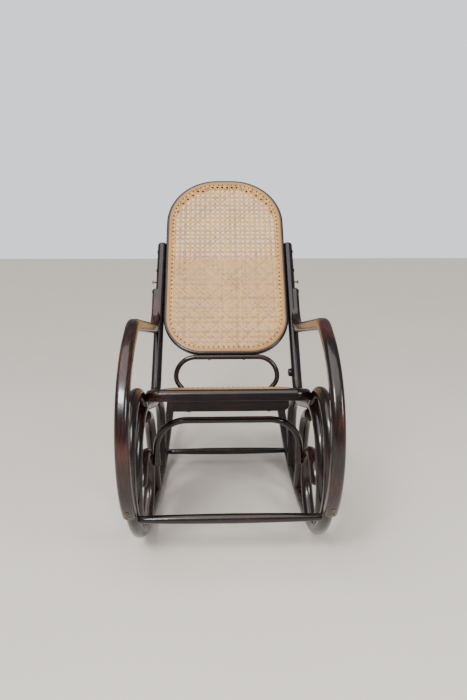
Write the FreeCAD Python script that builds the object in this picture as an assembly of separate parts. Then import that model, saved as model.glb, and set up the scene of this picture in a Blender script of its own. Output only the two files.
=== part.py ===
import FreeCAD, Part
import math
import os

from FreeCAD import Vector

# Bentwood rocking chair with a caned back and seat, in millimetres.
# Seen from the front, X runs to the right, Y to the rear and Z up.
# The origin is on the floor, under the middle of the chair's bounding box.
# Each side frame is drawn flat in its own plane, where x = 0 is the middle of its
# rods and +x is the outer side, then toed in, moved out and mirrored.

# ---- Rods and side frames -------------------------------------------------------
ROD_R = 17.5
SIDE_X = 243.7
TOE_IN = 0.75
RUNNER_RADIUS = 1100.0
RUNNER_LOW_Y = -50.0
RUNNER_WEAR = 0.4
RUNNER_TAIL_ANGLE = 31.5
RUNNER_NOSE_ANGLE = 11.5
RUNNER_NOSE_RADIUS = 251.0
RUNNER_CURL_RADIUS = 110.0
RUNNER_CURL_START = 60.0
RUNNER_CURL_END = -62.0
RUNNER_CURL_REACH = 15.0

# ---- Back posts, which turn forward under the seat and end as the front scroll ---
POST_TOP = (379.0, 830.0)
POST_HEADING = 55.3
POST_BEND_RADIUS = 100.0
SEAT_ROD_HEADING = 163.0
SEAT_ROD_POINT = (-203.0, 389.5)
SEAT_ROD_RUN = 162.7
SCROLL_TOP_RADIUS = 130.0
SCROLL_TOP_TURN = 77.0
SCROLL_FRONT_RADIUS = 280.0
SCROLL_FRONT_TURN = 45.0
SCROLL_FOOT_RUN = 30.0

# ---- Arms ----------------------------------------------------------------------
ARM_WIDTH = 34.0
ARM_DEPTH = 33.0
ARM_CORNER_R = 12.0
ARM_OUTSET = 8.0
ARM_SPLAY = -0.9
ARM_CENTRE = (-252.0, 366.0)
ARM_RADIUS = 280.0
ARM_FOOT_ANGLE = 215.5
ARM_BROW_HEADING = 24.0
ARM_BROW_RUN = 40.0
ARM_TOP_RADIUS = 90.0
ARM_FALL_HEADING = -13.0
ARM_ELBOW_RADIUS = 120.0
ARM_LAP_RUN = 76.0
ARM_POST_PLANE = 8.0

# ---- Braces between runner and seat rod ----------------------------------------
MIDDLE_BRACE_FOOT = (-26.0, 15.0)
MIDDLE_BRACE_HEADING = 106.5
MIDDLE_BRACE_RADIUS = 100.0
MIDDLE_BRACE_DROP = 34.0
MIDDLE_BRACE_TIP = 22.0
REAR_BRACE_FOOT = (105.0, 18.0)
REAR_BRACE_HEADING = 73.0
REAR_BRACE_RUN = 147.0
REAR_BRACE_RADIUS = 120.0
REAR_BRACE_TURN = 67.0
REAR_BRACE_TIP = 80.0
SMALL_SCROLL_FOOT = (-247.0, 35.0)
SMALL_SCROLL_HEADING = 40.0
SMALL_SCROLL_RUN = 51.0
SMALL_SCROLL_STEM = (130.0, 50.0)
SMALL_SCROLL_EYE = (77.0, 165.0)

# ---- Seat and back frames ------------------------------------------------------
SEAT_TILT = 18.4
SEAT_FRONT = (-293.0, 468.0)
SEAT_HALF_WIDTH = 234.0
SEAT_REAR_HALF_WIDTH = 205.0
SEAT_TAPER_START = 230.0
SEAT_DEPTH = 425.0
SEAT_THICK = 34.0
SEAT_RAIL = 50.0
SEAT_CORNERS = (50.0, 50.0, 300.0, 75.0, 75.0, 300.0)
SEAT_EDGE_R = 15.0
APRON_HALF_WIDTH = 165.0
APRON_SETBACK = 3.0
APRON_THICK = 20.0
APRON_HEIGHT = 27.0
APRON_CORNER_R = 18.0
BACK_HALF_WIDTH = 223.5
BACK_LENGTH = 738.0
BACK_THICK = 22.0
BACK_RAIL = 34.0
BACK_CORNERS = (140.0, 140.0, 195.0, 195.0)
BACK_EDGE_R = 7.0
BACK_FORWARD = 13.0
BACK_START = 459.0
BINDER_INSET = 8.0
BINDER_WIDTH = 15.0
BINDER_THICK = 2.2
SEAT_BINDER_INSET = 24.0
CANE_THICK = 1.5
SHEET_GAP = 0.3

# ---- Cross members -------------------------------------------------------------
STRETCHER_MID_R = 13.0
STRETCHER_END_R = 9.5
STRETCHER_TENON = 12.0
STRETCHER_TENON_R = 8.0
FRONT_STRETCHER = (-444.0, 166.0)
REAR_STRETCHER_Y = 210.0
ARCH_R = 10.0
ARCH_TOP = (-187.0, 336.0)
ARCH_FOOT = (-168.0, 178.0)
ARCH_HALF_WIDTH = 218.6
ARCH_CORNER_R = 95.0
HOOP_R = 8.5
HOOP_HALF_WIDTH = 168.5
HOOP_FOOT = (85.0, 339.0)
HOOP_TOP_DROP = 7.5
HOOP_CORNER_R = 68.0
HOOP_CURL_R = 45.0
HOOP_CURL_TURN = 40.0

# ---- Fasteners -----------------------------------------------------------------
BOLT_R = 3.0
BOLT_HEAD_R = 7.0
BOLT_HEAD_HIGH = 3.5
BOLT_SUNK = 1.4
SCREW_R = 2.2
SCREW_HEAD_R = 4.5
SCREW_HEAD_HIGH = 2.2
DOWEL_R = 4.0
DOWEL_LENGTH = 26.0
ROD_END_ROUND = 8.0
ARM_BOLT_DROPS = (165.0, 205.0)
ARM_SCREW_ANGLES = (212.5, 208.0)
CURL_SCREW = (-262.2, 432.1)
CURL_SEAT_CORNER = (-300.0, 330.0)
SEAT_SCREW_STEPS = (68.0, 140.0)
BACK_BOLT_DROPS = (40.0, 120.0)
HOOP_SCREW_X = 60.0
APRON_SCREW_X = 110.0
BUTTON_POINT = (83.0, 402.0)
BUTTON_R = 14.0
BUTTON_HIGH = 12.0
BUTTON_ROUND = 7.0
ARM_BOLT_LENGTH = 40.0
ARM_SCREW_LENGTH = 46.0
BRACE_SCREW_LENGTH = 60.0
BRACE_SCREW_SETBACK = 30.0
CURL_SCREW_LENGTH = 44.0
SEAT_SCREW_LENGTH = 50.0
BACK_BOLT_LENGTH = 48.0
ARCH_SCREW_LENGTH = 46.0
ARCH_SCREW_OFFSET = (4.0, 18.0)
HOOP_SCREW_LENGTH = 36.0
APRON_SCREW_LENGTH = 48.0

SIDE_NORMAL = Vector(1, 0, 0)
ALONG_Y = Vector(0, 1, 0)
ALONG_Z = Vector(0, 0, 1)
FAR = 2000.0


class Trace:
    """A path of straight runs and tangent arcs, drawn in one plane."""

    def __init__(self, start, heading, across=ALONG_Y, up=ALONG_Z, base=Vector()):
        self.a, self.b = start
        self.heading = heading
        self.across = across
        self.up = up
        self.base = base
        self.edges = []
        self.start = self.point()
        self.start_direction = self.direction()

    def point(self):
        return self.base + self.across * self.a + self.up * self.b

    def direction(self):
        angle = math.radians(self.heading)
        return self.across * math.cos(angle) + self.up * math.sin(angle)

    def run(self, length):
        """Go straight on."""
        before = self.point()
        self.a += length * math.cos(math.radians(self.heading))
        self.b += length * math.sin(math.radians(self.heading))
        self.edges.append(Part.LineSegment(before, self.point()).toShape())
        return self

    def bend(self, radius, turn):
        """Turn along an arc, a positive turn being to the left."""
        side = 90.0 if turn > 0 else -90.0
        centre_a = self.a + radius * math.cos(math.radians(self.heading + side))
        centre_b = self.b + radius * math.sin(math.radians(self.heading + side))
        before = self.point()
        halfway = None
        for part in (0.5, 1.0):
            spoke = math.radians(self.heading + turn * part - side)
            self.a = centre_a + radius * math.cos(spoke)
            self.b = centre_b + radius * math.sin(spoke)
            if part < 1.0:
                halfway = self.point()
        self.heading += turn
        self.edges.append(Part.Arc(before, halfway, self.point()).toShape())
        return self

    def join(self, point, heading, radius):
        """Run on, then bend onto the line through point with this heading."""
        here = math.radians(self.heading)
        there = math.radians(heading)
        cross = math.sin(there - here)
        gap_a = point[0] - self.a
        gap_b = point[1] - self.b
        to_corner = (gap_a * math.sin(there) - gap_b * math.cos(there)) / cross
        turn = (heading - self.heading + 180.0) % 360.0 - 180.0
        tangent = radius * math.tan(math.radians(abs(turn) / 2))
        self.run(to_corner - tangent)
        return self.bend(radius, turn)

    def wire(self):
        return Part.Wire(self.edges)


def end_edges(shape, point, direction):
    """The edges of a swept rod that bound the flat end at this point."""
    found = []
    for edge in shape.Edges:
        corners = [vertex.Point for vertex in edge.Vertexes] + [edge.CenterOfMass]
        if all(abs((corner - point).dot(direction)) < 0.01 for corner in corners):
            if edge.CenterOfMass.distanceToPoint(point) < 3 * ROD_R:
                found.append(edge)
    return found


def sweep(trace, profile, normal, round_start=0.0, round_end=0.0):
    """Sweep a closed profile along a trace and round its ends over."""
    pipe = Part.BRepOffsetAPI.MakePipeShell(trace.wire())
    pipe.setBiNormalMode(normal)
    pipe.add(profile)
    pipe.build()
    pipe.makeSolid()
    shape = pipe.shape()
    if round_start:
        edges = end_edges(shape, trace.start, trace.start_direction)
        shape = shape.makeFillet(round_start, edges)
    if round_end:
        edges = end_edges(shape, trace.point(), trace.direction())
        shape = shape.makeFillet(round_end, edges)
    return shape


def round_rod(trace, radius, normal, round_start=0.0, round_end=0.0):
    """A round bentwood rod along a trace."""
    circle = Part.Circle(trace.start, trace.start_direction, radius)
    profile = Part.Wire([circle.toShape()])
    return sweep(trace, profile, normal, round_start, round_end)


def oblong_rod(trace, width, depth, corner, normal, round_start, round_end):
    """A rod of rounded oblong section, its width along the normal."""
    across = trace.start_direction.cross(normal)
    flat_w = width / 2 - corner
    flat_d = depth / 2 - corner
    edges = []
    turns = [(1, 1), (-1, 1), (-1, -1), (1, -1)]
    ends = []
    for w_sign, d_sign in turns:
        centre = trace.start + normal * (w_sign * flat_w) + across * (d_sign * flat_d)
        on_w = centre + normal * (w_sign * corner)
        on_d = centre + across * (d_sign * corner)
        diagonal = normal * w_sign + across * d_sign
        middle = centre + diagonal.normalize() * corner
        pair = (on_w, on_d) if w_sign == d_sign else (on_d, on_w)
        edges.append(Part.Arc(pair[0], middle, pair[1]).toShape())
        ends.append(pair)
    for index in range(4):
        after = ends[(index + 1) % 4][0]
        edges.insert(2 * index + 1, Part.LineSegment(ends[index][1], after).toShape())
    return sweep(trace, Part.Wire(edges), normal, round_start, round_end)


def outside_of(plane_x):
    """Everything beyond a plane across x."""
    return Part.makeBox(FAR, 2 * FAR, 2 * FAR, Vector(plane_x, -FAR, -FAR))


def half_lap(outer, inner, plane_x):
    """Share what two crossing rods both fill, split at a plane across x."""
    shared = outer.common(inner)
    beyond = outside_of(plane_x)
    return outer.cut(shared.cut(beyond)), inner.cut(shared.common(beyond))


def domed(point, direction, length, radius, head_radius, head_high):
    """A screw or bolt whose domed head stands on point and shank runs along direction."""
    shank = Part.makeCylinder(radius, length, point, direction)
    head = Part.makeCylinder(head_radius, head_high, point, direction * -1)
    top = end_edges(head, point - direction * head_high, direction)
    head = head.makeFillet(head_high * 0.85, top)
    return shank.fuse(head).removeSplitter()


def bolt(point, direction, length):
    return domed(point, direction, length, BOLT_R, BOLT_HEAD_R, BOLT_HEAD_HIGH)


def screw(point, direction, length):
    return domed(point, direction, length, SCREW_R, SCREW_HEAD_R, SCREW_HEAD_HIGH)


def heading_vector(heading):
    """The direction of a heading in the side plane."""
    angle = math.radians(heading)
    return Vector(0, math.cos(angle), math.sin(angle))


def runner_height(y):
    """Height of the middle of the runner at y, where it rolls on the floor."""
    centre_z = ROD_R - RUNNER_WEAR + RUNNER_RADIUS
    return centre_z - math.sqrt(RUNNER_RADIUS**2 - (y - RUNNER_LOW_Y) ** 2)


# ---- Side frame ----------------------------------------------------------------
def make_runner():
    """The rocker, whose nose rises inside the arm and curls down to the seat."""
    tail = math.radians(RUNNER_TAIL_ANGLE)
    tail_y = RUNNER_LOW_Y + RUNNER_RADIUS * math.sin(tail)
    trace = Trace((tail_y, runner_height(tail_y)), 180.0 + RUNNER_TAIL_ANGLE)
    trace.bend(RUNNER_RADIUS, -(RUNNER_TAIL_ANGLE + RUNNER_NOSE_ANGLE))
    trace.bend(RUNNER_NOSE_RADIUS, RUNNER_CURL_START - trace.heading)
    trace.bend(RUNNER_CURL_RADIUS, RUNNER_CURL_END - trace.heading)
    trace.run(RUNNER_CURL_REACH)
    rod = round_rod(trace, ROD_R, SIDE_NORMAL, round_start=ROD_END_ROUND)
    floor = Part.makeBox(FAR, FAR, 50.0, Vector(-FAR / 2, -FAR / 2, -50.0))
    return rod.cut(floor)


def make_post_rod():
    """Back post, seat rod and front scroll, bent from one length."""
    trace = Trace(POST_TOP, POST_HEADING + 180.0)
    trace.join(SEAT_ROD_POINT, SEAT_ROD_HEADING, POST_BEND_RADIUS)
    trace.run(SEAT_ROD_RUN)
    trace.bend(SCROLL_TOP_RADIUS, SCROLL_TOP_TURN)
    trace.bend(SCROLL_FRONT_RADIUS, SCROLL_FRONT_TURN)
    trace.run(SCROLL_FOOT_RUN)
    return round_rod(trace, ROD_R, SIDE_NORMAL, round_start=ROD_END_ROUND)


def make_arm():
    """The arm, from its lap on the runner round the front and back to the post."""
    foot = math.radians(ARM_FOOT_ANGLE)
    start = (
        ARM_CENTRE[0] + ARM_RADIUS * math.cos(foot),
        ARM_CENTRE[1] + ARM_RADIUS * math.sin(foot),
    )
    trace = Trace(start, ARM_FOOT_ANGLE - 90.0)
    trace.bend(ARM_RADIUS, ARM_BROW_HEADING - trace.heading)
    trace.run(ARM_BROW_RUN)
    trace.bend(ARM_TOP_RADIUS, ARM_FALL_HEADING - ARM_BROW_HEADING)
    trace.join(POST_TOP, POST_HEADING, ARM_ELBOW_RADIUS)
    trace.run(ARM_LAP_RUN)
    arm = oblong_rod(
        trace, ARM_WIDTH, ARM_DEPTH, ARM_CORNER_R, SIDE_NORMAL, ROD_END_ROUND, ROD_END_ROUND
    )
    arm.rotate(Vector(), ALONG_Z, ARM_SPLAY)
    arm.translate(Vector(ARM_OUTSET, 0, 0))
    return arm


def arm_middle(y):
    """How far out the middle of the arm lies at y, in the side frame's own plane."""
    return ARM_OUTSET - y * math.sin(math.radians(ARM_SPLAY))


def make_middle_brace():
    """Brace that leans forward from the runner and dies under the seat rod."""
    below = heading_vector(SEAT_ROD_HEADING + 90.0) * MIDDLE_BRACE_DROP
    line = (SEAT_ROD_POINT[0] + below.y, SEAT_ROD_POINT[1] + below.z)
    trace = Trace(MIDDLE_BRACE_FOOT, MIDDLE_BRACE_HEADING)
    trace.join(line, SEAT_ROD_HEADING, MIDDLE_BRACE_RADIUS)
    trace.run(MIDDLE_BRACE_TIP)
    return round_rod(trace, ROD_R, SIDE_NORMAL, round_end=ROD_END_ROUND)


def make_rear_brace():
    """Brace that bows back from the runner and meets the bend of the post."""
    trace = Trace(REAR_BRACE_FOOT, REAR_BRACE_HEADING)
    trace.run(REAR_BRACE_RUN)
    trace.bend(REAR_BRACE_RADIUS, REAR_BRACE_TURN)
    trace.run(REAR_BRACE_TIP)
    return round_rod(trace, ROD_R, SIDE_NORMAL)


def make_small_scroll():
    """Open scroll that stands on the runner inside the front scroll."""
    trace = Trace(SMALL_SCROLL_FOOT, SMALL_SCROLL_HEADING)
    trace.run(SMALL_SCROLL_RUN)
    trace.bend(*SMALL_SCROLL_STEM)
    trace.bend(*SMALL_SCROLL_EYE)
    return round_rod(trace, ROD_R, SIDE_NORMAL, round_end=ROD_END_ROUND)


def post_point(below_top, forward=0.0, x=0.0):
    """A point on the post's line, measured down from its top."""
    down = heading_vector(POST_HEADING + 180.0) * below_top
    ahead = heading_vector(POST_HEADING + 90.0) * forward
    return Vector(x, POST_TOP[0], POST_TOP[1]) + down + ahead


def make_arm_bolts():
    """Two bolts through the arm's upper lap into the post."""
    bolts = []
    for drop in ARM_BOLT_DROPS:
        point = post_point(drop)
        point.x = arm_middle(point.y) + ARM_WIDTH / 2 - BOLT_SUNK
        bolts.append(bolt(point, Vector(-1, 0, 0), ARM_BOLT_LENGTH))
    return bolts


def make_arm_foot_screws():
    """Two screws through the front of the arm's foot into the runner's nose."""
    screws = []
    for angle in ARM_SCREW_ANGLES:
        spoke = heading_vector(angle)
        point = Vector(0, *ARM_CENTRE) + spoke * (ARM_RADIUS + ARM_DEPTH / 2)
        point.x = arm_middle(point.y)
        screws.append(screw(point, spoke * -1, ARM_SCREW_LENGTH))
    return screws


def make_foot_dowels():
    """Hidden dowels that pin the scrolls' and braces' feet to the runner."""
    feet = [
        (MIDDLE_BRACE_FOOT[0] - 6.0, MIDDLE_BRACE_HEADING),
        (REAR_BRACE_FOOT[0] + 8.0, REAR_BRACE_HEADING),
        (SMALL_SCROLL_FOOT[0] + 5.0, SMALL_SCROLL_HEADING + 5.0),
    ]
    dowels = []
    for y, heading in feet:
        start = Vector(0, y, runner_height(y) + 5.0)
        dowels.append(Part.makeCylinder(DOWEL_R, DOWEL_LENGTH, start, heading_vector(heading)))
    return dowels


def make_brace_screws():
    """Screws that hold the braces' tips to the seat rod."""
    up = heading_vector(SEAT_ROD_HEADING - 90.0)
    along = heading_vector(SEAT_ROD_HEADING)
    rod_line = Vector(0, *SEAT_ROD_POINT)
    middle = rod_line - along * BRACE_SCREW_SETBACK - up * (MIDDLE_BRACE_DROP + ROD_R)
    return [screw(middle, up, BRACE_SCREW_LENGTH)]


def make_curl_screws():
    """Screw through the runner's curl into the seat's front corner."""
    return [screw(Vector(ROD_R, *CURL_SCREW), Vector(-1, 0, 0), CURL_SCREW_LENGTH)]


def make_seat_screws():
    """Two screws that rise through the seat rod, leaning in, to the seat's rail."""
    rod_line = Vector(0, *SEAT_ROD_POINT)
    back = heading_vector(SEAT_ROD_HEADING) * -1
    up = heading_vector(SEAT_ROD_HEADING - 90.0)
    direction = (up - SIDE_NORMAL).normalize()
    places = [rod_line + back * step - direction * ROD_R for step in SEAT_SCREW_STEPS]
    return [screw(place, direction, SEAT_SCREW_LENGTH) for place in places]


def make_back_bolts():
    """Two bolts through the post into the side of the back frame."""
    direction = Vector(-1, 0, 0)
    sunk = ROD_R - 2 * BOLT_SUNK
    heads = [post_point(drop, BACK_FORWARD / 2, sunk) for drop in BACK_BOLT_DROPS]
    return [bolt(head, direction, BACK_BOLT_LENGTH) for head in heads]


def make_arch_screws():
    """Screw through the small scroll into the foot of the under-seat arch."""
    ahead, above = ARCH_SCREW_OFFSET
    point = Vector(ROD_R, ARCH_FOOT[0] + ahead, ARCH_FOOT[1] + above)
    return [screw(point, Vector(-1, 0, 0), ARCH_SCREW_LENGTH)]


def make_button():
    """The turned button on the inner face of the right post."""
    start = Vector(-ROD_R + 2.0, *BUTTON_POINT)
    button = Part.makeCylinder(BUTTON_R, BUTTON_HIGH + 2.0, start, Vector(-1, 0, 0))
    rim = end_edges(button, start - SIDE_NORMAL * (BUTTON_HIGH + 2.0), SIDE_NORMAL)
    return button.makeFillet(BUTTON_ROUND, rim)


def place_side(shape, side):
    """Move a piece of the side frame out to the right (1) or left (-1) side."""
    placed = shape.copy()
    placed.rotate(Vector(), ALONG_Z, TOE_IN)
    placed.translate(Vector(SIDE_X, 0, 0))
    return placed if side > 0 else placed.mirror(Vector(), SIDE_NORMAL)


def make_side_frame():
    """All the rods of one side frame, fitted to each other in its own plane."""
    runner = make_runner()
    post = make_post_rod()
    arm = make_arm()
    curl_seat = Part.makeBox(2 * ROD_R + 2, 100.0, 110.0, Vector(-ROD_R - 1, *CURL_SEAT_CORNER))
    runner = largest(runner.cut(post.common(curl_seat)))
    post = post.cut(runner)
    arm = largest(arm.cut(runner))
    arm, post = half_lap(arm, post, ARM_POST_PLANE)
    return {
        "runner": runner,
        "back_post": largest(post),
        "arm": arm,
        "middle_brace": largest(make_middle_brace().cut(runner).cut(post)),
        "rear_brace": largest(make_rear_brace().cut(runner).cut(post)),
        "small_scroll": largest(make_small_scroll().cut(runner)),
    }


# ---- Caned frames --------------------------------------------------------------
def rounded_outline(corners, radii):
    """A closed outline whose straight sides meet in tangent arcs."""
    count = len(corners)
    edges = []
    starts = []
    ends = []
    arcs = []
    for index in range(count):
        corner = Vector(*corners[index], 0)
        before = (Vector(*corners[index - 1], 0) - corner).normalize()
        after = (Vector(*corners[(index + 1) % count], 0) - corner).normalize()
        half = before.getAngle(after) / 2
        tangent = radii[index] / math.tan(half)
        bisector = (before + after).normalize()
        depth = radii[index] / math.sin(half) - radii[index]
        starts.append(corner + before * tangent)
        ends.append(corner + after * tangent)
        arcs.append(corner + bisector * depth)
    for index in range(count):
        edges.append(Part.Arc(starts[index], arcs[index], ends[index]).toShape())
        edges.append(Part.LineSegment(ends[index], starts[(index + 1) % count]).toShape())
    return Part.Wire(edges)


def slab(outline, inset, bottom, thickness):
    """The outline drawn in by inset and made a slab that stands on bottom."""
    wire = outline.makeOffset2D(-inset) if inset else outline
    face = Part.Face(wire)
    face.translate(Vector(0, 0, bottom))
    return face.extrude(Vector(0, 0, thickness))


def rim_edges(shape, height, outline, inset):
    """Edges of a ring at one height that lie on the outline drawn in by inset."""
    wire = outline.makeOffset2D(-inset) if inset else outline
    wire = wire.copy()
    wire.translate(Vector(0, 0, height))
    found = []
    for edge in shape.Edges:
        middle = edge.valueAt((edge.FirstParameter + edge.LastParameter) / 2)
        if abs(middle.z - height) < 0.01:
            if wire.distToShape(Part.Vertex(middle))[0] < 0.05:
                found.append(edge)
    return found


def caned_frame(outline, rail, thickness, top, edge_r, under_r, binder_inset):
    """A bent ring with its cane sheet and the binder that covers the cane's edge."""
    ring = slab(outline, 0, top - thickness, thickness)
    ring = ring.cut(slab(outline, rail, top - thickness, thickness))
    ring = ring.makeFillet(edge_r, rim_edges(ring, top, outline, 0))
    ring = ring.makeFillet(under_r, rim_edges(ring, top - thickness, outline, 0))
    inner = rim_edges(ring, top, outline, rail)
    inner += rim_edges(ring, top - thickness, outline, rail)
    ring = ring.makeFillet(2.5, inner)
    cane_inset = binder_inset + BINDER_WIDTH
    binder = slab(outline, binder_inset, top, BINDER_THICK)
    binder = binder.cut(slab(outline, cane_inset, top, BINDER_THICK))
    sheet = slab(outline, cane_inset + SHEET_GAP, top, CANE_THICK)
    return ring, binder, sheet


def on_seat(shape):
    """Tilt a piece drawn flat on the seat and set it at the seat's front edge."""
    placed = shape.copy()
    placed.rotate(Vector(), SIDE_NORMAL, -SEAT_TILT)
    placed.translate(Vector(0, *SEAT_FRONT))
    return placed


def on_back(shape):
    """Stand a piece drawn flat on the back up along the posts."""
    placed = shape.copy()
    placed.rotate(Vector(), SIDE_NORMAL, POST_HEADING)
    placed.translate(back_foot())
    return placed


def back_foot():
    """The middle of the back frame's bottom edge."""
    return post_point(BACK_START, BACK_FORWARD)


def make_seat():
    """Seat ring, cane, binder and the apron under the front rail."""
    front = SEAT_HALF_WIDTH
    rear = SEAT_REAR_HALF_WIDTH
    corners = [(-front, 0), (front, 0), (front, SEAT_TAPER_START)]
    corners += [(rear, SEAT_DEPTH), (-rear, SEAT_DEPTH), (-front, SEAT_TAPER_START)]
    outline = rounded_outline(corners, SEAT_CORNERS)
    ring, binder, sheet = caned_frame(
        outline, SEAT_RAIL, SEAT_THICK, 0.0, SEAT_EDGE_R, 2.0, SEAT_BINDER_INSET
    )
    apron = Part.makeBox(
        2 * APRON_HALF_WIDTH,
        APRON_THICK,
        APRON_HEIGHT,
        Vector(-APRON_HALF_WIDTH, APRON_SETBACK, -SEAT_THICK - APRON_HEIGHT),
    )
    lower = []
    for edge in apron.Edges:
        middle = edge.CenterOfMass
        if abs(middle.z + SEAT_THICK + APRON_HEIGHT) < 0.1 and abs(middle.x) > 1.0:
            lower.append(edge)
    apron = apron.makeFillet(APRON_CORNER_R, lower)
    pieces = {"seat_frame": ring, "seat_binder": binder, "seat_cane": sheet}
    pieces["seat_apron"] = apron
    return {name: on_seat(shape) for name, shape in pieces.items()}


def make_back():
    """Back ring, its cane and its binder."""
    half = BACK_HALF_WIDTH
    corners = [(-half, 0), (half, 0), (half, BACK_LENGTH), (-half, BACK_LENGTH)]
    outline = rounded_outline(corners, BACK_CORNERS)
    ring, binder, sheet = caned_frame(
        outline, BACK_RAIL, BACK_THICK, BACK_THICK / 2, BACK_EDGE_R, BACK_EDGE_R, BINDER_INSET
    )
    pieces = {"back_frame": ring, "back_binder": binder, "back_cane": sheet}
    return {name: on_back(shape) for name, shape in pieces.items()}


# ---- Cross members -------------------------------------------------------------
def make_stretcher(y, z):
    """A turned stretcher, thick in the middle, with a tenon at each end."""
    half = SIDE_X - ROD_R - y * math.sin(math.radians(TOE_IN))
    left = Vector(-half, 0, STRETCHER_END_R)
    right = Vector(half, 0, STRETCHER_END_R)
    crown = Part.Arc(left, Vector(0, 0, STRETCHER_MID_R), right).toShape()
    edges = [
        crown,
        Part.LineSegment(right, Vector(half, 0, 0)).toShape(),
        Part.LineSegment(Vector(half, 0, 0), Vector(-half, 0, 0)).toShape(),
        Part.LineSegment(Vector(-half, 0, 0), left).toShape(),
    ]
    body = Part.Face(Part.Wire(edges)).revolve(Vector(), SIDE_NORMAL, 360)
    reach = half + STRETCHER_TENON
    tenon = Part.makeCylinder(
        STRETCHER_TENON_R, 2 * reach, Vector(-reach, 0, 0), SIDE_NORMAL
    )
    shape = body.fuse(tenon).removeSplitter()
    shape.translate(Vector(0, y, z))
    return shape


def make_arch():
    """The inverted U that ties the two small scrolls together under the seat."""
    drop = ARCH_TOP[1] - ARCH_FOOT[1]
    lean = Vector(0, ARCH_TOP[0] - ARCH_FOOT[0], drop).normalize()
    height = math.hypot(ARCH_TOP[0] - ARCH_FOOT[0], drop)
    trace = Trace(
        (ARCH_HALF_WIDTH, 0), 90.0, across=SIDE_NORMAL, up=lean, base=Vector(0, *ARCH_FOOT)
    )
    trace.run(height - ARCH_CORNER_R)
    trace.bend(ARCH_CORNER_R, 90.0)
    trace.run(2 * (ARCH_HALF_WIDTH - ARCH_CORNER_R))
    trace.bend(ARCH_CORNER_R, 90.0)
    trace.run(height - ARCH_CORNER_R)
    normal = SIDE_NORMAL.cross(lean)
    return round_rod(trace, ARCH_R, normal, ARCH_R * 0.6, ARCH_R * 0.6)


def make_hoop():
    """The flattened hoop that stands on the rear rail and holds up the back frame."""
    top = back_foot() - heading_vector(POST_HEADING) * HOOP_TOP_DROP
    rise = Vector(0, top.y - HOOP_FOOT[0], top.z - HOOP_FOOT[1])
    height = rise.Length
    rise.normalize()
    curl = math.radians(HOOP_CURL_TURN)
    start_x = HOOP_HALF_WIDTH - HOOP_CURL_R * (1 - math.cos(curl))
    straight = height - HOOP_CORNER_R - HOOP_CURL_R * math.sin(curl)
    lead = straight / math.cos(curl)
    trace = Trace(
        (start_x - straight * math.tan(curl) * 0.5, 0),
        90.0 - HOOP_CURL_TURN,
        across=SIDE_NORMAL,
        up=rise,
        base=Vector(0, *HOOP_FOOT),
    )
    trace.run(lead)
    trace.bend(HOOP_CURL_R, HOOP_CURL_TURN)
    half_top = trace.a - HOOP_CORNER_R
    trace.bend(HOOP_CORNER_R, 90.0)
    trace.run(2 * half_top)
    trace.bend(HOOP_CORNER_R, 90.0)
    trace.bend(HOOP_CURL_R, HOOP_CURL_TURN)
    trace.run(lead)
    return round_rod(trace, HOOP_R, SIDE_NORMAL.cross(rise))


def make_hoop_screws():
    """Two screws up through the hoop into the back frame's bottom edge."""
    up = heading_vector(POST_HEADING)
    foot = back_foot() - up * (HOOP_TOP_DROP + HOOP_R)
    steps = (-HOOP_SCREW_X, HOOP_SCREW_X)
    return [screw(foot + Vector(x, 0, 0), up, HOOP_SCREW_LENGTH) for x in steps]


def make_apron_screws():
    """Two screws up through the apron into the seat's front rail."""
    up = Vector(0, 0, 1)
    places = [
        Vector(x, APRON_SETBACK + APRON_THICK / 2, -SEAT_THICK - APRON_HEIGHT)
        for x in (-APRON_SCREW_X, APRON_SCREW_X)
    ]
    return [on_seat(screw(place, up, APRON_SCREW_LENGTH)) for place in places]


# ---- Assembly ------------------------------------------------------------------
def largest(shape):
    """The biggest solid of a shape, without crumbs that a cut left behind."""
    return max(shape.Solids, key=lambda solid: solid.Volume)


def cut_all(shape, tools):
    """Cut several tools out of a shape and keep its biggest solid."""
    for tool in tools:
        if shape.BoundBox.intersect(tool.BoundBox):
            shape = shape.cut(tool)
    return largest(shape)


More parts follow.
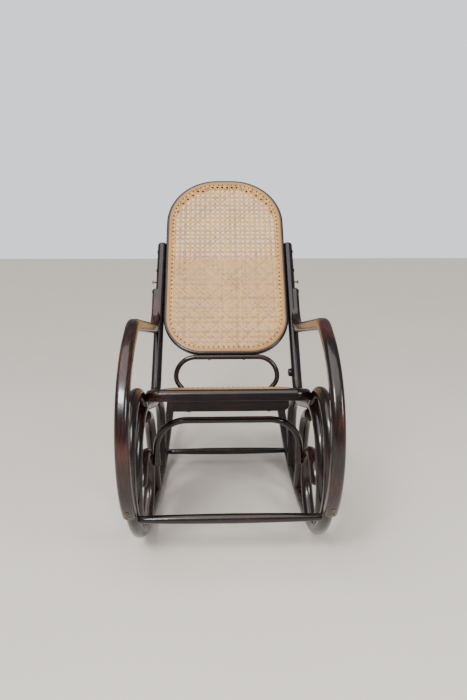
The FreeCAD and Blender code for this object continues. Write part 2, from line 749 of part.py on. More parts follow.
def assemble():
    """Every piece by node name, placed and fitted; a group is a list of solids."""
    wood = {}
    groups = {}
    makers = {
        "arm_bolts": make_arm_bolts,
        "arm_foot_screws": make_arm_foot_screws,
        "back_bolts": make_back_bolts,
        "seat_screws": make_seat_screws,
        "curl_screws": make_curl_screws,
        "brace_screws": make_brace_screws,
        "arch_screws": make_arch_screws,
        "foot_dowels": make_foot_dowels,
    }
    frame = make_side_frame()
    for side, word in ((1, "right"), (-1, "left")):
        for name, shape in frame.items():
            wood[name + "_" + word] = place_side(shape, side)
        for name, maker in makers.items():
            groups.setdefault(name, []).extend(place_side(s, side) for s in maker())
    groups["hoop_screws"] = make_hoop_screws()
    groups["apron_screws"] = make_apron_screws()
    wood.update(make_seat())
    wood.update(make_back())
    wood["front_stretcher"] = make_stretcher(*FRONT_STRETCHER)
    wood["rear_stretcher"] = make_stretcher(REAR_STRETCHER_Y, runner_height(REAR_STRETCHER_Y))
    wood["under_seat_arch"] = make_arch()
    wood["back_hoop"] = make_hoop()
    wood["post_button"] = place_side(make_button(), 1)
    side_rods = ["runner", "back_post", "small_scroll"]
    rods = [name + word for name in side_rods for word in ("_right", "_left")]
    stretchers = [wood["front_stretcher"], wood["rear_stretcher"]]
    for name in ("runner_right", "runner_left"):
        wood[name] = cut_all(wood[name], stretchers)
    for name in ("seat_frame", "back_frame", "under_seat_arch", "post_button", "front_stretcher"):
        wood[name] = cut_all(wood[name], [wood[rod] for rod in rods])
    wood["back_hoop"] = cut_all(wood["back_hoop"], [wood["back_frame"]])
    wood["seat_frame"] = cut_all(wood["seat_frame"], [wood["back_hoop"]])
    for sheet in ("seat_binder", "seat_cane"):
        wood[sheet] = cut_all(wood[sheet], [wood["back_hoop"]])
    fasteners = [solid for group in groups.values() for solid in group]
    for name in wood:
        wood[name] = cut_all(wood[name], fasteners)
    nodes = {name: [shape] for name, shape in wood.items()}
    nodes.update(groups)
    return nodes


def main():
    os.makedirs("parts", exist_ok=True)
    nodes = assemble()
    everything = Part.makeCompound([solid for group in nodes.values() for solid in group])
    box = everything.optimalBoundingBox(False)
    shift = Vector(0, -(box.YMin + box.YMax) / 2, -box.ZMin)
    for name, group in nodes.items():
        shape = group[0] if len(group) == 1 else Part.makeCompound(group)
        shape.translate(shift)
        if not shape.isValid():
            print("not valid:", name)
        shape.exportStep("parts/" + name + ".step")


main()
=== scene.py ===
import sys

import logging
import math
import random
from collections.abc import Callable
from dataclasses import dataclass, field
from enum import Enum

import bmesh
import bpy
from mathutils import Matrix, Vector


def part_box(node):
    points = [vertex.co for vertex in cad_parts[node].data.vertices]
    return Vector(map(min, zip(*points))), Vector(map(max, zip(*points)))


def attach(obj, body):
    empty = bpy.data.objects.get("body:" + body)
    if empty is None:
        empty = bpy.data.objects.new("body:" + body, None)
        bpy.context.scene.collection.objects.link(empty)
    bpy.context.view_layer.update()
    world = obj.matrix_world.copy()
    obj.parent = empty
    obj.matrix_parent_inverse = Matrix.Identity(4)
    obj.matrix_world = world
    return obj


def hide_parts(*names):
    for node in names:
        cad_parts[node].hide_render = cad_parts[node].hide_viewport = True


# Bentwood rocking chair with a caned back and seat, in metres.
# X runs to the right seen from the front, Y to the rear and Z up.

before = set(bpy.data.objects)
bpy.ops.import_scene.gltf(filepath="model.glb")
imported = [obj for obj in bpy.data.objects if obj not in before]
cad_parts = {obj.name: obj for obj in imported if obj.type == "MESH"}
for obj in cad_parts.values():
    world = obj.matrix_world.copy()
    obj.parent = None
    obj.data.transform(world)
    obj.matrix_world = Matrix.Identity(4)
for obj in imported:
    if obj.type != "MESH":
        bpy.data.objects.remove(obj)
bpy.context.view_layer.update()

LOG = logging.getLogger("rocking_chair")
Colour = tuple[float, float, float]
Spot = tuple[float, float]

MM = 0.001
MERGE = 0.01 * MM
SHARP_ANGLE = math.radians(34.0)
WEAVE_SEED = 11

# A line is followed this far each way, in metres, and is parallel to a side under this speed.
LINE_REACH = 9.0
PARALLEL = 1e-12

# A screw's axis is found in a few passes, from the points nearest to its two ends.
AXIS_PASSES = 6
END_PART = 40
END_LEAST = 3

# Half of a domed band's section, as shares of its width and of its height.
DOME = [(0.0, 0.0), (0.0, 0.55), (0.1, 0.82), (0.3, 0.97), (0.5, 1.0)]


class Slot(Enum):
    """The record's material slots."""

    DARK = "dark_lacquer"
    ARM = "arm_lacquer"
    SEAT = "seat_lacquer"
    CANE = "cane"
    BINDER = "cane_binder"
    BRASS = "screw_brass"
    BEECH = "dowel_beech"


class GrainRun(Enum):
    """Which way a rod's grain runs, as how fast the pattern changes along X, Y and Z."""

    SIDE = (230.0, 26.0, 26.0)
    ACROSS = (16.0, 190.0, 190.0)


# ---- Shaders --------------------------------------------------------------------
class Wire:
    """An output of a shader node, on which maths is written as plain expressions."""

    def __init__(self, shader: "Shader", socket: bpy.types.NodeSocket) -> None:
        """Hold one output.

        Args:
            shader: The shader that the output is part of.
            socket: The output itself.
        """
        self.shader = shader
        self.socket = socket

    def _maths(self, operation: str, first: "Wire | float", second: "Wire | float") -> "Wire":
        """Add a Math node and return its result."""
        values = {0: first, 1: second}
        return self.shader.node("ShaderNodeMath", {"operation": operation}, values)

    def __add__(self, other: "Wire | float") -> "Wire":
        """Sum."""
        return self._maths("ADD", self, other)

    def __radd__(self, other: "Wire | float") -> "Wire":
        """Sum, with a plain number first."""
        return self._maths("ADD", other, self)

    def __sub__(self, other: "Wire | float") -> "Wire":
        """Difference."""
        return self._maths("SUBTRACT", self, other)

    def __rsub__(self, other: "Wire | float") -> "Wire":
        """Difference, with a plain number first."""
        return self._maths("SUBTRACT", other, self)

    def __mul__(self, other: "Wire | float") -> "Wire":
        """Product."""
        return self._maths("MULTIPLY", self, other)

    def __rmul__(self, other: "Wire | float") -> "Wire":
        """Product, with a plain number first."""
        return self._maths("MULTIPLY", other, self)


class Shader:
    """A material under construction, with one method that adds every kind of node."""

    def __init__(self, name: str) -> None:
        """Start an empty material with its object coordinates.

        Args:
            name: What the finish is called.
        """
        self.material = bpy.data.materials.new(name)
        self.material.use_nodes = True
        self.tree = self.material.node_tree
        self.tree.nodes.clear()
        self.place = self.node("ShaderNodeTexCoord", {}, {}, "Object")

    def node(
        self,
        kind: str,
        settings: dict[str, object],
        values: dict[int | str, object],
        out: int | str = 0,
    ) -> Wire:
        """Add a node.

        Args:
            kind: The node's type.
            settings: Its properties, which are set first; "stops" fills a colour ramp.
            values: Plain values or wires for its inputs, by name or number.
            out: The name or number of the output to return.

        Returns:
            The chosen output.
        """
        made = self.tree.nodes.new(kind)
        for key, value in settings.items():
            if key == "stops":
                self._fill_ramp(made.color_ramp, value)
            else:
                setattr(made, key, value)
        for key, value in values.items():
            if isinstance(value, Wire):
                self.tree.links.new(value.socket, made.inputs[key])
            else:
                made.inputs[key].default_value = value
        return Wire(self, made.outputs[out])

    @staticmethod
    def _fill_ramp(ramp: bpy.types.ColorRamp, stops: list[tuple[float, Colour]]) -> None:
        """Give a colour ramp its stops."""
        while len(ramp.elements) < len(stops):
            ramp.elements.new(1.0)
        for element, (position, colour) in zip(ramp.elements, stops):
            element.position = position
            element.color = (*colour, 1.0)

    def stretched(self, scale: tuple[float, float, float]) -> Wire:
        """Object coordinates, stretched along each axis."""
        values = {"Vector": self.place, "Scale": scale}
        return self.node("ShaderNodeMapping", {"vector_type": "POINT"}, values)

    def noise(self, where: Wire, scale: float, detail: float = 3.0, warp: float = 0.0) -> Wire:
        """Cloudy noise from 0 to 1."""
        values = {"Vector": where, "Scale": scale, "Detail": detail, "Distortion": warp}
        return self.node("ShaderNodeTexNoise", {}, values, "Fac")

    def ramp(self, factor: Wire, stops: list[tuple[float, Colour]]) -> Wire:
        """Colours picked from a ramp."""
        return self.node("ShaderNodeValToRGB", {"stops": stops}, {"Fac": factor}, "Color")

    def blend(self, factor: Wire | float, first: Wire | Colour, second: Wire | Colour) -> Wire:
        """A mix of two colours."""
        colours = [v if isinstance(v, Wire) else (*v, 1.0) for v in (first, second)]
        values = {0: factor, 6: colours[0], 7: colours[1]}
        return self.node("ShaderNodeMix", {"data_type": "RGBA"}, values, 2)

    def between(self, value: Wire, low: float, high: float) -> Wire:
        """0 where value is under low, 1 where it is over high, and smooth between."""
        settings = {"interpolation_type": "SMOOTHSTEP"}
        values = {"Value": value, "From Min": low, "From Max": high}
        return self.node("ShaderNodeMapRange", settings, values, "Result")

    def attribute(self, name: str) -> Wire:
        """A number that the mesh carries."""
        return self.node("ShaderNodeAttribute", {"attribute_name": name}, {}, "Fac")

    def bumped(self, height: Wire, strength: float, distance: float) -> Wire:
        """A normal raised by a height."""
        values = {"Height": height, "Strength": strength, "Distance": distance}
        return self.node("ShaderNodeBump", {}, values, "Normal")

    def finish(self, values: dict[str, object]) -> bpy.types.Material:
        """Close the material with a principled surface.

        Args:
            values: Plain values or wires for the surface's inputs.

        Returns:
            The material.
        """
        surface = self.node("ShaderNodeBsdfPrincipled", {}, values, "BSDF")
        output = self.tree.nodes.new("ShaderNodeOutputMaterial")
        self.tree.links.new(surface.socket, output.inputs["Surface"])
        return self.material


@dataclass(frozen=True)
class Lacquer:
    """Old French polish over stained beech: nearly black, redder where it wore thin."""

    name: str
    grain: GrainRun
    deep: Colour = (0.0040, 0.0018, 0.0016)
    warm: Colour = (0.022, 0.0052, 0.0038)
    worn: Colour = (0.065, 0.020, 0.010)
    warmth: float = 0.55
    gloss: float = 0.17
    coat: float = 0.35
    edge_wear: float = 0.0

    def material(self) -> bpy.types.Material:
        """Build the finish."""
        shader = Shader(self.name)
        cloud = shader.noise(shader.place, 7.0, 4.0, 0.6)
        streak = shader.noise(shader.stretched(self.grain.value), 1.0, 4.0, 0.4)
        pores = shader.noise(shader.stretched(self.grain.value), 5.5, 2.0)
        speck = shader.noise(shader.place, 420.0, 2.0)
        thin = shader.between(cloud * 0.55 + streak * 0.6, 0.46, 0.74)
        base = shader.blend(thin * self.warmth, self.deep, self.warm)
        rubbed = shader.between(streak * 0.5 + cloud * 0.5 + speck * 0.18, 0.63, 0.76)
        base = shader.blend(rubbed * (0.35 + self.edge_wear), base, self.worn)
        roughness = self.gloss + 0.10 * cloud + 0.09 * rubbed + 0.05 * speck
        height = pores * 0.5 + speck * 0.3 + streak * 0.4
        return shader.finish(
            {
                "Base Color": base,
                "Roughness": roughness,
                "Normal": shader.bumped(height, 0.22, 0.35 * MM),
                "IOR": 1.42,
                "Coat Weight": self.coat,
                "Coat Roughness": 0.07,
                "Coat IOR": 1.45,
            }
        )


@dataclass(frozen=True)
class Cane:
    """Split cane: a glossy bark side in straw and honey, darker at its nodes."""

    name: str
    straw: Colour = (0.70, 0.40, 0.105)
    honey: Colour = (0.55, 0.27, 0.055)
    amber: Colour = (0.29, 0.11, 0.018)

    def material(self) -> bpy.types.Material:
        """Build the finish, which reads each strand's own tone."""
        shader = Shader(self.name)
        tone = shader.attribute("tone")
        stain = shader.noise(shader.place, 6.0, 3.0, 0.5)
        fibre = shader.noise(shader.stretched((900.0, 900.0, 900.0)), 1.0, 3.0)
        joint = shader.noise(shader.stretched((55.0, 70.0, 70.0)), 1.0, 2.0)
        mixed = tone * 0.55 + stain * 0.35 + fibre * 0.22
        stops = [(0.22, self.straw), (0.58, self.honey), (0.95, self.amber)]
        base = shader.ramp(mixed, stops)
        base = shader.blend(shader.between(joint, 0.66, 0.80) * 0.5, base, self.amber)
        return shader.finish(
            {
                "Base Color": base,
                "Roughness": 0.36 + 0.22 * fibre,
                "Normal": shader.bumped(fibre, 0.25, 0.15 * MM),
                "Coat Weight": 0.15,
                "Coat Roughness": 0.25,
            }
        )


@dataclass(frozen=True)
class BinderCane:
    """The wide flat cane that covers the ends of the weave, tied down at each hole."""

    name: str
    light: Colour = (0.52, 0.25, 0.045)
    dark: Colour = (0.27, 0.10, 0.016)

    def material(self) -> bpy.types.Material:
        """Build the finish, whose fibres follow the band's own length."""
        shader = Shader(self.name)
        run = shader.attribute("run")
        across = shader.attribute("across")
        values = {"X": run * 14.0, "Y": across * 5.0}
        fibres = shader.noise(shader.node("ShaderNodeCombineXYZ", {}, values), 2.2, 4.0, 0.3)
        stain = shader.noise(shader.place, 9.0, 3.0, 0.5)
        base = shader.blend(fibres * 0.6 + stain * 0.45, self.light, self.dark)
        return shader.finish(
            {
                "Base Color": base,
                "Roughness": 0.34 + 0.2 * fibres,
                "Normal": shader.bumped(fibres, 0.3, 0.3 * MM),
                "Coat Weight": 0.25,
                "Coat Roughness": 0.2,
            }
        )


@dataclass(frozen=True)
class Brass:
    """Screw heads gone brown with age, bright only where a driver rubbed them."""

    name: str
    dull: Colour = (0.09, 0.055, 0.025)
    bright: Colour = (0.36, 0.25, 0.11)

    def material(self) -> bpy.types.Material:
        """Build the finish."""
        shader = Shader(self.name)
        patch = shader.noise(shader.place, 260.0, 4.0, 0.4)
        scratch = shader.noise(shader.stretched((300.0, 2400.0, 900.0)), 1.0, 2.0)
        shine = shader.between(patch * 0.7 + scratch * 0.4, 0.48, 0.74)
        return shader.finish(
            {
                "Base Color": shader.blend(shine, self.dull, self.bright),
                "Metallic": 0.9,
                "Roughness": 0.52 - 0.2 * shine,
                "Normal": shader.bumped(scratch, 0.2, 0.1 * MM),
            }
        )


@dataclass(frozen=True)
class Beech:
    """Bare beech with its short dark flecks."""

    name: str
    pale: Colour = (0.52, 0.33, 0.19)
    fleck: Colour = (0.30, 0.16, 0.08)

    def material(self) -> bpy.types.Material:
        """Build the finish."""
        shader = Shader(self.name)
        grain = shader.noise(shader.stretched((400.0, 400.0, 60.0)), 1.0, 3.0)
        base = shader.blend(shader.between(grain, 0.5, 0.7), self.pale, self.fleck)
        values = {"Base Color": base, "Roughness": 0.6 + 0.15 * grain}
        values["Normal"] = shader.bumped(grain, 0.2, 0.1 * MM)
        return shader.finish(values)


@dataclass(frozen=True)
class StudioFloor:
    """A plain pale floor."""

    name: str
    tint: Colour = (0.72, 0.66, 0.58)

    def material(self) -> bpy.types.Material:
        """Build the finish."""
        shader = Shader(self.name)
        cloud = shader.noise(shader.place, 1.3, 2.0)
        shade = tuple(0.94 * part for part in self.tint)
        base = shader.blend(cloud, self.tint, shade)
        return shader.finish({"Base Color": base, "Roughness": 0.62 + 0.1 * cloud})


# ---- Pieces ---------------------------------------------------------------------
def add_piece(
    name: str, shape: bmesh.types.BMesh, finish: bpy.types.Material, slot: Slot, *nodes: str
) -> None:
    """Make an object of a mesh, dress it, hang it under the root body and hide the CAD nodes that
    it stands for.

    Args:
        name: The piece's name.
        shape: Its mesh, in place, which is freed.
        finish: Its material.
        slot: The record's slot for its finish; it is not used.
        nodes: The CAD nodes that it stands for.
    """
    for edge in shape.edges:
        bent = len(edge.link_faces) == 2 and edge.calc_face_angle(0.0) > SHARP_ANGLE
        edge.smooth = not bent
    for face in shape.faces:
        face.smooth = True
    mesh = bpy.data.meshes.new(name)
    shape.to_mesh(mesh)
    shape.free()
    mesh.materials.append(finish)
    piece = bpy.data.objects.new(name, mesh)
    bpy.context.scene.collection.objects.link(piece)
    weighted = piece.modifiers.new("even_shading", "WEIGHTED_NORMAL")
    weighted.keep_sharp = True
    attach(piece, "root")
    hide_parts(*nodes)
    LOG.info("%s: %d faces, for %s", name, len(mesh.polygons), ", ".join(nodes))


def merged_copy(node: str) -> bmesh.types.BMesh:
    """A CAD node's mesh with its loose triangles joined."""
    shape = bmesh.new()
    shape.from_mesh(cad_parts[node].data)
    bmesh.ops.remove_doubles(shape, verts=shape.verts, dist=MERGE)
    return shape


@dataclass
class Woodwork:
    """A set of lacquered rods and rails that share one finish."""

    nodes: list[str]
    finish: Lacquer
    slot: Slot

    def build(self) -> None:
        """Build each rod or rail and dress it."""
        dressed = self.finish.material()
        for node in self.nodes:
            add_piece(node + "_polished", merged_copy(node), dressed, self.slot, node)


@dataclass
class Outline:
    """A closed convex outline whose straight sides meet in tangent arcs."""

    corners: list[Spot]
    radii: list[float]
    steps: int = 14

    def points(self, inset: float) -> list[Vector]:
        """The outline drawn in by inset, anticlockwise.

        Args:
            inset: How far in, in metres.

        Returns:
            Its points, with steps + 1 of them on each arc.
        """
        found = []
        count = len(self.corners)
        for index in range(count):
            corner = Vector(self.corners[index])
            before = (Vector(self.corners[index - 1]) - corner).normalized()
            after = (Vector(self.corners[(index + 1) % count]) - corner).normalized()
            half = before.angle(after) / 2
            radius = self.radii[index]
            centre = corner + (before + after).normalized() * (radius / math.sin(half))
            spoke = (corner + before * (radius / math.tan(half))) - centre
            swing = math.pi - 2 * half
            for step in range(self.steps + 1):
                turned = Matrix.Rotation(swing * step / self.steps, 2) @ spoke.normalized()
                found.append(centre + turned * (radius - inset))
        return found


@dataclass
class Strand:
    """One family of parallel cane strands in a six-way weave."""

    name: str
    heading: float
    pitch: float
    offsets: list[float]
    width: float
    segment: float
    height: float
    wave: Callable[[Vector, int], float]
    thickness: float = 0.45 * MM
    crown: float = 0.18 * MM


@dataclass
class CanedPanel:
    """A bent frame's woven cane and the binder that covers its edge."""

    name: str
    outline: Outline
    up_slope: Vector
    cane_node: str
    binder_node: str
    binder_inset: float
    cane: Cane
    binder: BinderCane
    binder_width: float = 15.0 * MM
    rim: float = 2.8 * MM
    binder_high: float = 2.2 * MM
    hem_width: float = 10.0 * MM
    hem_high: float = 0.5 * MM
    peg_pitch: float = 17.5 * MM
    peg_inset: float = 2.8 * MM
    peg_radius: float = 3.1 * MM
    peg_high: float = 3.3 * MM
    peg_taper: float = 0.72
    peg_sides: int = 9
    pitch: float = 19.0 * MM
    pair: float = 2.9 * MM
    strand_width: float = 3.5 * MM
    diagonal_width: float = 4.1 * MM
    low_wave: float = 0.5 * MM
    high_wave: float = 0.9 * MM
    sheet_thick: float = 1.5 * MM
    lift: float = 1.15 * MM
    tuck: float = 1.5 * MM
    dice: random.Random = field(default_factory=lambda: random.Random(WEAVE_SEED))

    def placing(self, above_face: float) -> Matrix:
        """The matrix that sets a flat drawing on the panel.

        Args:
            above_face: How far the drawing stands above the wood.

        Returns:
            The panel's plane as a matrix, centred on the sheet.
        """
        low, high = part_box(self.cane_node)
        centre = (Vector(low) + Vector(high)) / 2
        across = Vector((1.0, 0.0, 0.0))
        facing = across.cross(self.up_slope)
        turn = Matrix((across, self.up_slope, facing)).transposed().to_4x4()
        base = centre + facing * (above_face - self.sheet_thick / 2)
        return Matrix.Translation(base) @ turn

    def span(self, edge: list[Vector], start: Vector, along: Vector) -> Spot | None:
        """Where a line enters and leaves the outline.

        Args:
            edge: The outline's points, anticlockwise.
            start: A point of the line.
            along: The line's direction.

        Returns:
            The two distances from start, or None if the line misses.
        """
        near, far = -LINE_REACH, LINE_REACH
        for index, point in enumerate(edge):
            side = edge[(index + 1) % len(edge)] - point
            inward = Vector((-side.y, side.x))
            speed = inward.dot(along)
            gap = inward.dot(start - point)
            if abs(speed) < PARALLEL:
                if gap < 0:
                    return None
            elif speed > 0:
                near = max(near, -gap / speed)
            else:
                far = min(far, -gap / speed)
        return (near, far) if far - near > self.pair else None

    def families(self) -> list[Strand]:
        """The four families of strands, each with its path over and under the others."""
        step = self.pitch
        low = self.low_wave
        high = self.high_wave
        full = 2 * math.pi / step
        pair = [-self.pair, self.pair]

        def parity(number: int) -> float:
            """-1 for odd numbers and 1 for even ones."""
            return -1.0 if number % 2 else 1.0

        return [
            Strand(
                "upright", math.pi / 2, step, pair, self.strand_width, step / 4, low,
                lambda spot, number: low * parity(number) * math.cos(full / 2 * spot.y),
            ),
            Strand(
                "level", 0.0, step, pair, self.strand_width, step / 4, low,
                lambda spot, number: -low * parity(number) * math.cos(full / 2 * spot.x),
            ),
            Strand(
                "rising", math.pi / 4, step / math.sqrt(2), [step / math.sqrt(8)],
                self.diagonal_width, step / 4, high,
                lambda spot, number: high * math.cos(full * spot.x),
            ),
            Strand(
                "falling", -math.pi / 4, step / math.sqrt(2), [step / math.sqrt(8)],
                self.diagonal_width, step / 4, high,
                lambda spot, number: -high * math.cos(full * spot.x),
            ),
        ]

    def weave(self, family: Strand) -> bmesh.types.BMesh:
        """Lay all the strands of one family.

        Args:
            family: The strands' direction, spacing and path.

        Returns:
            Their mesh, in place.
        """
        edge = self.outline.points(self.binder_inset + self.binder_width - self.tuck)
        reach = max(point.length for point in edge)
        along = Vector((math.cos(family.heading), math.sin(family.heading)))
        beside = Vector((-along.y, along.x))
        shape = bmesh.new()
        tone = shape.verts.layers.float.new("tone")
        count = math.ceil(reach / family.pitch)
        for number in range(-count, count + 1):
            for offset in family.offsets:
                middle = beside * (number * family.pitch + offset)
                span = self.span(edge, middle, along)
                if span is None:
                    continue
                self.lay_strand(shape, tone, family, number, middle, along, span)
        bmesh.ops.solidify(shape, geom=shape.faces[:], thickness=family.thickness)
        if shape.calc_volume(signed=True) < 0:
            bmesh.ops.reverse_faces(shape, faces=shape.faces)
        place = self.placing(self.lift)
        bmesh.ops.transform(shape, matrix=place, verts=shape.verts)
        return shape

    def lay_strand(
        self, shape: bmesh.types.BMesh, tone: bmesh.types.BMLayerItem, family: Strand, number: int,
        middle: Vector, along: Vector, span: Spot,
    ) -> None:
        """Add one strand's ribbon and bend it over and under.

        Args:
            shape: The mesh to add to.
            tone: The layer that holds each strand's tone.
            family: The strands' direction, spacing and path.
            number: Which strand or pair this is.
            middle: A point of the strand's line.
            along: The strand's direction.
            span: Where it starts and ends along that line.
        """
        length = span[1] - span[0]
        centre = middle + along * ((span[0] + span[1]) / 2)
        turn = Matrix.Rotation(family.heading, 4, "Z")
        size = Matrix.Diagonal((length / 2, family.width / 2, 1.0, 1.0))
        place = Matrix.Translation(centre.to_3d()) @ turn @ size
        made = bmesh.ops.create_grid(
            shape,
            x_segments=max(2, round(length / family.segment)),
            y_segments=2,
            size=1.0,
            matrix=place,
        )
        shade = self.dice.random()
        for vert in made["verts"]:
            spot = vert.co.xy - middle
            line_spot = middle + along * spot.dot(along)
            aside = abs((spot - along * spot.dot(along)).length) / (family.width / 2)
            vert.co.z = family.wave(line_spot, number) + family.crown * (1 - aside * aside)
            vert[tone] = shade

    def band(self, start: float, width: float, high: float) -> bmesh.types.BMesh:
        """A domed band round the panel, as rings of points joined into a closed surface.

        Args:
            start: The inset of its outer edge.
            width: How wide it is.
            high: How high its crown stands above the wood.

        Returns:
            Its mesh, in place.
        """
        shape = bmesh.new()
        run = shape.verts.layers.float.new("run")
        across = shape.verts.layers.float.new("across")
        section = DOME + [(1 - share, rise) for share, rise in reversed(DOME[:-1])]
        loops = []
        for share, rise in section:
            ring = self.outline.points(start + share * width)
            verts = [shape.verts.new((p.x, p.y, rise * high)) for p in ring]
            travelled = 0.0
            for index, vert in enumerate(verts):
                travelled += (ring[index] - ring[index - 1]).length if index else 0.0
                vert[run] = travelled
                vert[across] = share
            pairs = zip(verts, verts[1:] + verts[:1])
            loops.append([shape.edges.new(pair) for pair in pairs])
        for first, second in zip(loops, loops[1:] + loops[:1]):
            bmesh.ops.bridge_loops(shape, edges=first + second)
        bmesh.ops.recalc_face_normals(shape, faces=shape.faces)
        bmesh.ops.transform(shape, matrix=self.placing(0.0), verts=shape.verts)
        return shape

    def build(self) -> None:
        """Weave the cane and lay the binder over its edge."""
        cane = self.cane.material()
        for family in self.families():
            name = f"{self.name}_cane_{family.name}"
            add_piece(name, self.weave(family), cane, Slot.CANE, self.cane_node)
        dressed = self.binder.material()
        width = self.binder_width - self.rim
        binder = self.band(self.binder_inset + self.rim, width, self.binder_high)
        add_piece(self.name + "_binder_band", binder, dressed, Slot.BINDER, self.binder_node)
        hem_start = self.binder_inset + self.binder_width - self.tuck
        hem = self.band(hem_start, self.hem_width, self.hem_high)
        add_piece(self.name + "_cane_hem", hem, cane, Slot.CANE, self.cane_node)
        pegs = self.pegs()
        finish = Lacquer(f"peg_{self.name}", GrainRun.SIDE, gloss=0.6, coat=0.0).material()
        add_piece(self.name + "_pegs", pegs, finish, Slot.DARK, self.binder_node)

    def pegs(self) -> bmesh.types.BMesh:
        """The row of little pegs that pins the cane in its drilled holes."""
        ring = self.outline.points(self.binder_inset + self.binder_width + self.peg_inset)
        legs = [(ring[i], ring[(i + 1) % len(ring)]) for i in range(len(ring))]
        whole = sum((b - a).length for a, b in legs)
        count = round(whole / self.peg_pitch)
        shape = bmesh.new()
        travelled = 0.0
        number = 0
        for first, second in legs:
            length = (second - first).length
            while number < count and (number + 0.5) * whole / count <= travelled + length:
                share = ((number + 0.5) * whole / count - travelled) / length
                spot = first.lerp(second, share).to_3d()
                place = Matrix.Translation(spot + Vector((0.0, 0.0, self.peg_high / 2)))
                bmesh.ops.create_cone(
                    shape,
                    cap_ends=True,
                    segments=self.peg_sides,
                    radius1=self.peg_radius,
                    radius2=self.peg_radius * self.peg_taper,
                    depth=self.peg_high,
                    matrix=place,
                )
                number += 1
            travelled += length
        bmesh.ops.transform(shape, matrix=self.placing(0.0), verts=shape.verts)
        return shape


@dataclass
class Fasteners:
    """Slotted screws and bolts with domed heads."""

    nodes: list[str]
    finish: Brass
    slot: Slot = Slot.BRASS
    slot_width: float = 1.1 * MM
    slot_depth: float = 1.3 * MM
    slot_reach: float = 2.4
    first_twist: float = 0.6
    next_twist: float = 1.7

    def heads(self, shape: bmesh.types.BMesh) -> list[tuple[Vector, Vector, float]]:
        """Find each screw's head.

        Args:
            shape: The screws' mesh.

        Returns:
            Each head's crown, the direction that it faces and its radius.
        """
        left = set(shape.verts)
        found = []
        while left:
            front = [left.pop()]
            island = list(front)
            while front:
                vert = front.pop()
                for edge in vert.link_edges:
                    other = edge.other_vert(vert)
                    if other in left:
                        left.discard(other)
                        front.append(other)
                        island.append(other)
            found.append(self.head_of([vert.co.copy() for vert in island]))
        return found

    @staticmethod
    def head_of(points: list[Vector]) -> tuple[Vector, Vector, float]:
        """One screw's crown, facing and head radius.

        Args:
            points: All the points of the screw.

        Returns:
            The crown, the direction from the tip to the crown, and the radius.
        """
        start = points[0]
        far = max(points, key=lambda point: (point - start).length)
        other = max(points, key=lambda point: (point - far).length)
        axis = (far - other).normalized()
        for _ in range(AXIS_PASSES):
            ends = sorted(points, key=lambda point: point.dot(axis))
            few = max(END_LEAST, len(ends) // END_PART)
            tip = sum(ends[:few], Vector()) / few
            crown = sum(ends[-few:], Vector()) / few
            axis = (crown - tip).normalized()
        middle = (tip + crown) / 2
        spread = {1: 0.0, -1: 0.0}
        for point in points:
            away = (point - middle).dot(axis)
            out = ((point - middle) - axis * away).length
            side = 1 if away > 0 else -1
            spread[side] = max(spread[side], out)
        if spread[-1] > spread[1]:
            axis = -axis
            crown = tip
        radius = max(spread.values())
        height = max(point.dot(axis) for point in points)
        return crown + axis * (height - crown.dot(axis)), axis, radius

    def slotted(self, node: str) -> bmesh.types.BMesh:
        """A node's screws with a driver's slot sunk in each head.

        Args:
            node: The CAD node.

        Returns:
            The mesh.
        """
        shape = merged_copy(node)
        cutter = bmesh.new()
        for number, (crown, axis, radius) in enumerate(self.heads(shape)):
            turn = axis.to_track_quat("Z", "Y").to_matrix().to_4x4()
            twist = Matrix.Rotation(self.first_twist + self.next_twist * number, 4, "Z")
            long = radius * self.slot_reach
            size = Matrix.Diagonal((long, self.slot_width, self.slot_depth * 2, 1.0))
            matrix = Matrix.Translation(crown) @ turn @ twist @ size
            bmesh.ops.create_cube(cutter, size=1.0, matrix=matrix)
        return carve(shape, cutter)

    def build(self) -> None:
        """Cut the slots and dress the screws."""
        dressed = self.finish.material()
        for node in self.nodes:
            add_piece(node + "_slotted", self.slotted(node), dressed, self.slot, node)


def carve(shape: bmesh.types.BMesh, cutter: bmesh.types.BMesh) -> bmesh.types.BMesh:
    """Take one mesh out of another.

    Args:
        shape: The mesh to carve, which is freed.
        cutter: What is taken out, which is freed.

    Returns:
        The carved mesh.
    """
    blocks = []
    for name, source in (("carved", shape), ("carver", cutter)):
        mesh = bpy.data.meshes.new(name)
        source.to_mesh(mesh)
        source.free()
        block = bpy.data.objects.new(name, mesh)
        bpy.context.scene.collection.objects.link(block)
        blocks.append(block)
    cut = blocks[0].modifiers.new("cut", "BOOLEAN")
    cut.operation = "DIFFERENCE"
    cut.solver = "EXACT"
    cut.object = blocks[1]
    seen = blocks[0].evaluated_get(bpy.context.evaluated_depsgraph_get())
    result = bpy.data.meshes.new_from_object(seen)
    carved = bmesh.new()
    carved.from_mesh(result)
    bpy.data.meshes.remove(result)
    for block in blocks:
        bpy.data.meshes.remove(block.data)
    return carved


# ---- Studio ---------------------------------------------------------------------
@dataclass(frozen=True)
class SoftLight:
    """One large soft light that faces the chair, with its power in watts."""

    name: str
    spot: tuple[float, float, float]
    size: float
    power: float


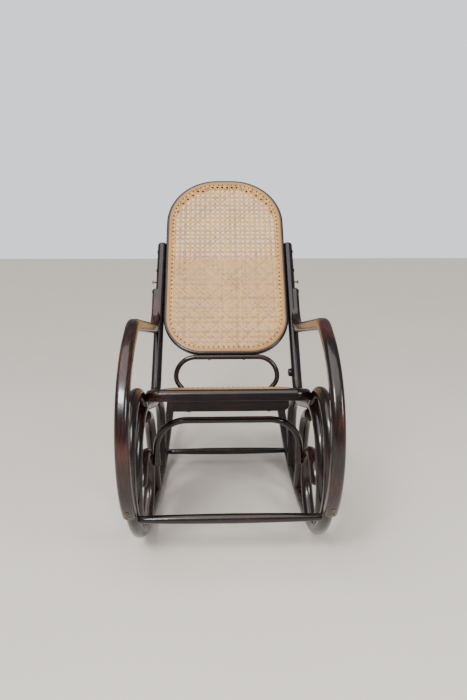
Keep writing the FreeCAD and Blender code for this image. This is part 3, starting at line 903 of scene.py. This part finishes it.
@dataclass
class Studio:
    """The floor, the soft lights and the camera."""

    floor_size: float = 24.0
    eye: tuple[float, float, float] = (-0.0246, -1.6133, 0.9082)
    pitch_down: float = 13.98
    yaw: float = 1.614
    lens: float = 26.26
    backdrop: Colour = (0.80, 0.82, 0.86)
    backdrop_strength: float = 1.45
    room_strength: float = 0.38
    aim: tuple[float, float, float] = (0.0, 0.0, 0.5)
    light_tint: Colour = (0.93, 0.96, 1.0)
    sun_strength: float = 2.9
    sun_spread: float = 70.0
    sun_lean: Spot = (22.0, -14.0)
    lights: tuple[SoftLight, ...] = (
        SoftLight("key_light", (-0.9, -2.3, 2.3), 0.7, 70.0),
        SoftLight("fill_light", (1.6, -1.9, 1.5), 0.8, 30.0),
    )

    def floor(self) -> None:
        """Lay the pale floor."""
        shape = bmesh.new()
        bmesh.ops.create_grid(shape, x_segments=2, y_segments=2, size=self.floor_size / 2)
        mesh = bpy.data.meshes.new("studio_floor")
        shape.to_mesh(mesh)
        shape.free()
        mesh.materials.append(StudioFloor("pale_floor").material())
        floor = bpy.data.objects.new("studio_floor", mesh)
        bpy.context.scene.collection.objects.link(floor)

    def soft_light(self, soft: SoftLight) -> None:
        """Hang one large soft light.

        Args:
            soft: Where it hangs, its size and its power.
        """
        lamp = bpy.data.lights.new(soft.name, "AREA")
        lamp.shape = "DISK"
        lamp.size = soft.size
        lamp.energy = soft.power
        lamp.color = self.light_tint
        light = bpy.data.objects.new(soft.name, lamp)
        light.location = soft.spot
        facing = Vector(self.aim) - Vector(soft.spot)
        light.rotation_euler = facing.to_track_quat("-Z", "Y").to_euler()
        bpy.context.scene.collection.objects.link(light)

    def daylight(self) -> None:
        """Light the floor evenly from overhead, with very soft shadows."""
        lamp = bpy.data.lights.new("overhead_light", "SUN")
        lamp.energy = self.sun_strength
        lamp.angle = math.radians(self.sun_spread)
        light = bpy.data.objects.new("overhead_light", lamp)
        lean, roll = self.sun_lean
        light.rotation_euler = (math.radians(lean), math.radians(roll), 0.0)
        bpy.context.scene.collection.objects.link(light)

    def sky(self) -> None:
        """Fill the room with pale light."""
        world = bpy.data.worlds.new("studio")
        world.use_nodes = True
        tree = world.node_tree
        back = tree.nodes["Background"]
        back.inputs["Color"].default_value = (*self.backdrop, 1.0)
        path = tree.nodes.new("ShaderNodeLightPath")
        level = tree.nodes.new("ShaderNodeMapRange")
        level.inputs["To Min"].default_value = self.room_strength
        level.inputs["To Max"].default_value = self.backdrop_strength
        tree.links.new(path.outputs["Is Camera Ray"], level.inputs["Value"])
        tree.links.new(level.outputs["Result"], back.inputs["Strength"])
        bpy.context.scene.world = world

    def camera(self) -> None:
        """Set the camera."""
        data = bpy.data.cameras.new("camera")
        data.lens = self.lens
        camera = bpy.data.objects.new("camera", data)
        camera.location = self.eye
        tilt = math.radians(90.0 - self.pitch_down)
        camera.rotation_euler = (tilt, 0.0, math.radians(-self.yaw))
        bpy.context.scene.collection.objects.link(camera)
        bpy.context.scene.camera = camera

    def build(self) -> None:
        """Set up the whole studio."""
        self.camera()
        self.floor()
        self.sky()
        for soft in self.lights:
            self.soft_light(soft)
        self.daylight()
        LOG.info("studio: floor, lights and camera")


# ---- The chair ------------------------------------------------------------------
def both(*names: str) -> list[str]:
    """The right and left node of each name."""
    return [name + side for name in names for side in ("_right", "_left")]


def sloped(degrees: float) -> Vector:
    """The direction that rises to the rear by some degrees."""
    angle = math.radians(degrees)
    return Vector((0.0, math.cos(angle), math.sin(angle)))


def back_panel() -> CanedPanel:
    """The caned back."""
    half, tall = 223.5 * MM, 369.0 * MM
    corners = [(-half, -tall), (half, -tall), (half, tall), (-half, tall)]
    radii = [140.0 * MM, 140.0 * MM, 195.0 * MM, 195.0 * MM]
    return CanedPanel(
        name="back",
        outline=Outline(corners, radii),
        up_slope=sloped(55.3),
        cane_node="back_cane",
        binder_node="back_binder",
        binder_inset=8.0 * MM,
        cane=Cane("cane_back"),
        binder=BinderCane("binder_back"),
    )


def seat_panel() -> CanedPanel:
    """The caned seat."""
    front, rear = 234.0 * MM, 205.0 * MM
    half = 212.5 * MM
    taper = 17.5 * MM
    corners = [(-front, -half), (front, -half), (front, taper)]
    corners += [(rear, half), (-rear, half), (-front, taper)]
    radii = [50.0 * MM, 50.0 * MM, 300.0 * MM, 75.0 * MM, 75.0 * MM, 300.0 * MM]
    # The CAD seat falls by 18.4 degrees, so this cane lies 1.4 degrees off its wood.
    return CanedPanel(
        name="seat",
        outline=Outline(corners, radii),
        up_slope=sloped(-17.0),
        cane_node="seat_cane",
        binder_node="seat_binder",
        binder_inset=24.0 * MM,
        cane=Cane("cane_seat"),
        binder=BinderCane("binder_seat"),
    )


def main() -> None:
    """Build the chair piece by piece, in order, and the studio round it."""
    logging.basicConfig(level=logging.INFO, format="%(message)s", stream=sys.stdout)
    rods = both("runner", "back_post", "middle_brace", "rear_brace", "small_scroll")
    rods.append("post_button")
    cross = ["front_stretcher", "rear_stretcher", "under_seat_arch", "back_hoop", "back_frame"]
    screws = ["arm_bolts", "arm_foot_screws", "curl_screws", "brace_screws", "seat_screws"]
    screws += ["back_bolts", "arch_screws", "hoop_screws", "apron_screws"]
    arm_finish = Lacquer("lacquer_arm", GrainRun.SIDE, warmth=0.95, warm=(0.042, 0.0095, 0.006))
    seat_finish = Lacquer("lacquer_seat", GrainRun.ACROSS, warmth=0.8, edge_wear=0.15)
    Studio().build()
    Woodwork(rods, Lacquer("lacquer_rod", GrainRun.SIDE), Slot.DARK).build()
    Woodwork(cross, Lacquer("lacquer_cross", GrainRun.ACROSS), Slot.DARK).build()
    Woodwork(both("arm"), arm_finish, Slot.ARM).build()
    Woodwork(["seat_frame", "seat_apron"], seat_finish, Slot.SEAT).build()
    back_panel().build()
    seat_panel().build()
    Fasteners(screws, Brass("aged_brass")).build()
    dowels = merged_copy("foot_dowels")
    add_piece("foot_dowels_bare", dowels, Beech("bare_beech").material(), Slot.BEECH, "foot_dowels")


if __name__ == "__main__":
    main()
